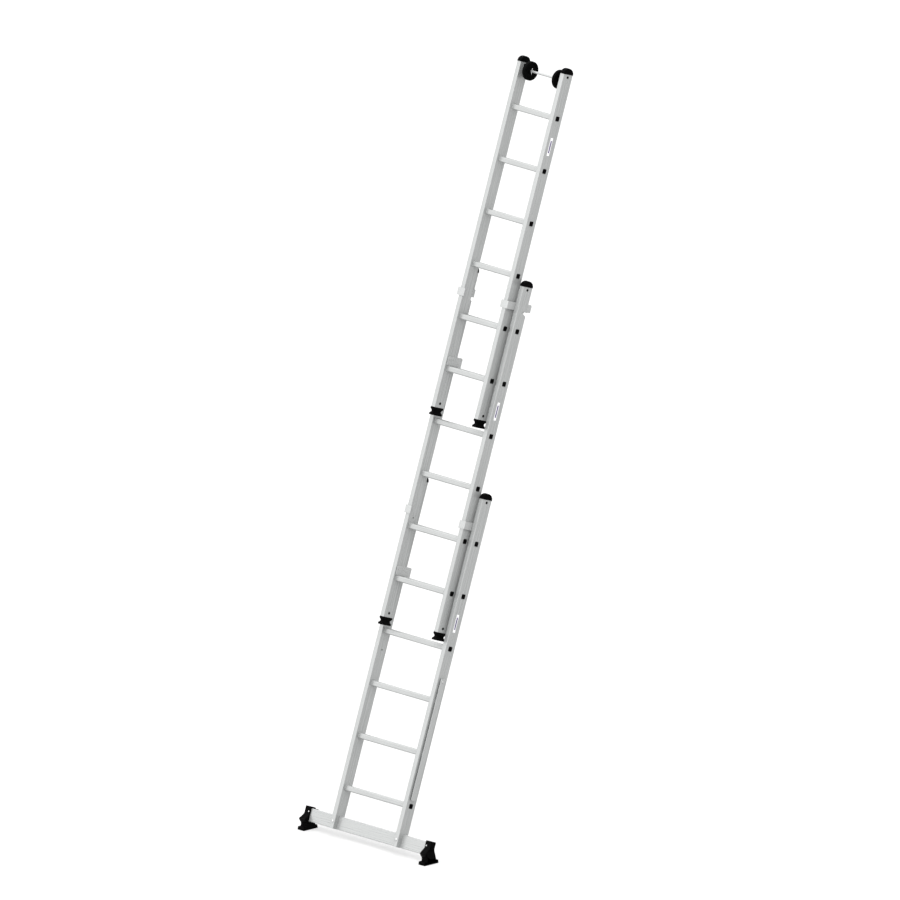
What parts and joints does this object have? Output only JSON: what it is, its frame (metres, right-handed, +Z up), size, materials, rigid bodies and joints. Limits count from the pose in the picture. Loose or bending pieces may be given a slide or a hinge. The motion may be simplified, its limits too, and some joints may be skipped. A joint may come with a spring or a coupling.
{
  "type": "extension ladder",
  "caption": "Multi-section aluminium extension ladder, extended and leaning, with a wide foot traverse on rocking shoes, swing-out struts and wall rollers.",
  "frame": {"origin": "on the floor under the middle of the whole ladder's box", "axes": "+X to the climber's right along the rungs, +Y towards the wall it leans on, +Z up"},
  "size_m": [0.9686, 1.3554, 3.9767],
  "materials": {
    "stile_aluminium": "extruded, fine brushed",
    "rung_aluminium": "extruded, ribbed tread",
    "fitting_aluminium": "satin pressed aluminium",
    "plated_steel": "zinc plated",
    "black_plastic": "fine moulded grain",
    "black_rubber": "ribbed rubber",
    "white_label": "blank printed film"
  },
  "bodies": {
    "bottom_section": {"bottom_stile_left": "stile_aluminium", "bottom_cap_left": "black_plastic", "bottom_stile_right": "stile_aluminium", "bottom_cap_right": "black_plastic", "bottom_rung_1": "rung_aluminium", "bottom_rung_2": "rung_aluminium", "bottom_rung_3": "rung_aluminium", "bottom_rung_4": "rung_aluminium", "bottom_rung_5": "rung_aluminium", "bottom_rung_6": "rung_aluminium", "traverse": "stile_aluminium", "bottom_guide_left": "fitting_aluminium", "traverse_bolt_left": "plated_steel", "shoe_holder_left": "black_plastic", "shoe_pin_left": "plated_steel", "strut_bolt_left": "plated_steel", "bottom_guide_right": "fitting_aluminium", "traverse_bolt_right": "plated_steel", "shoe_holder_right": "black_plastic", "shoe_pin_right": "plated_steel", "strut_bolt_right": "plated_steel"},
    "middle_section": {"middle_stile_left": "stile_aluminium", "middle_cap_left": "black_plastic", "middle_stile_right": "stile_aluminium", "middle_cap_right": "black_plastic", "middle_rung_1": "rung_aluminium", "middle_rung_2": "rung_aluminium", "middle_rung_3": "rung_aluminium", "middle_rung_4": "rung_aluminium", "middle_rung_5": "rung_aluminium", "middle_rung_6": "rung_aluminium", "middle_foot_left": "black_plastic", "middle_rung_hook_left": "fitting_aluminium", "middle_foot_right": "black_plastic", "middle_rung_hook_right": "fitting_aluminium", "middle_guide_left": "fitting_aluminium", "middle_guide_right": "fitting_aluminium"},
    "top_section": {"top_stile_left": "stile_aluminium", "top_cap_left": "black_plastic", "top_stile_right": "stile_aluminium", "top_cap_right": "black_plastic", "top_rung_1": "rung_aluminium", "top_rung_2": "rung_aluminium", "top_rung_3": "rung_aluminium", "top_rung_4": "rung_aluminium", "top_rung_5": "rung_aluminium", "top_rung_6": "rung_aluminium", "top_foot_left": "black_plastic", "top_rung_hook_left": "fitting_aluminium", "top_foot_right": "black_plastic", "top_rung_hook_right": "fitting_aluminium", "roller_axle": "fitting_aluminium"},
    "shoe_left": {"shoe_left": "black_plastic", "shoe_sole_left": "black_rubber"},
    "strut_left": {"strut_left": "fitting_aluminium"},
    "roller_left": {"roller_left": "black_plastic"},
    "shoe_right": {"shoe_right": "black_plastic", "shoe_sole_right": "black_rubber"},
    "strut_right": {"strut_right": "fitting_aluminium"},
    "roller_right": {"roller_right": "black_plastic"}
  },
  "joints": [
    {"name": "middle_slide", "type": "slide", "parent": "bottom_section", "child": "middle_section", "axis": [0, 0.3315, 0.9435], "range_m": [-1.12, 0]},
    {"name": "top_slide", "type": "slide", "parent": "middle_section", "child": "top_section", "axis": [0, 0.3315, 0.9435], "range_m": [-1.12, 0]},
    {"name": "roller_left_spin", "type": "hinge", "parent": "top_section", "child": "roller_left", "pos_m": [-0.11, 0.62675, 3.90575], "axis": [1, 0, 0], "continuous": true},
    {"name": "roller_right_spin", "type": "hinge", "parent": "top_section", "child": "roller_right", "pos_m": [0.11, 0.62675, 3.90575], "axis": [1, 0, 0], "continuous": true},
    {"name": "shoe_left_rock", "type": "hinge", "parent": "bottom_section", "child": "shoe_left", "pos_m": [-0.4578, -0.61867, 0.075], "axis": [1, 0, 0], "range_deg": [-20, 20]},
    {"name": "shoe_right_rock", "type": "hinge", "parent": "bottom_section", "child": "shoe_right", "pos_m": [0.4578, -0.61867, 0.075], "axis": [1, 0, 0], "range_deg": [-20, 20]},
    {"name": "strut_left_swing", "type": "hinge", "parent": "bottom_section", "child": "strut_left", "pos_m": [-0.2618, -0.34251, 0.88209], "axis": [-1, 0, 0], "range_deg": [0, 110]},
    {"name": "strut_right_swing", "type": "hinge", "parent": "bottom_section", "child": "strut_right", "pos_m": [0.2618, -0.34251, 0.88209], "axis": [-1, 0, 0], "range_deg": [0, 110]}
  ]
}
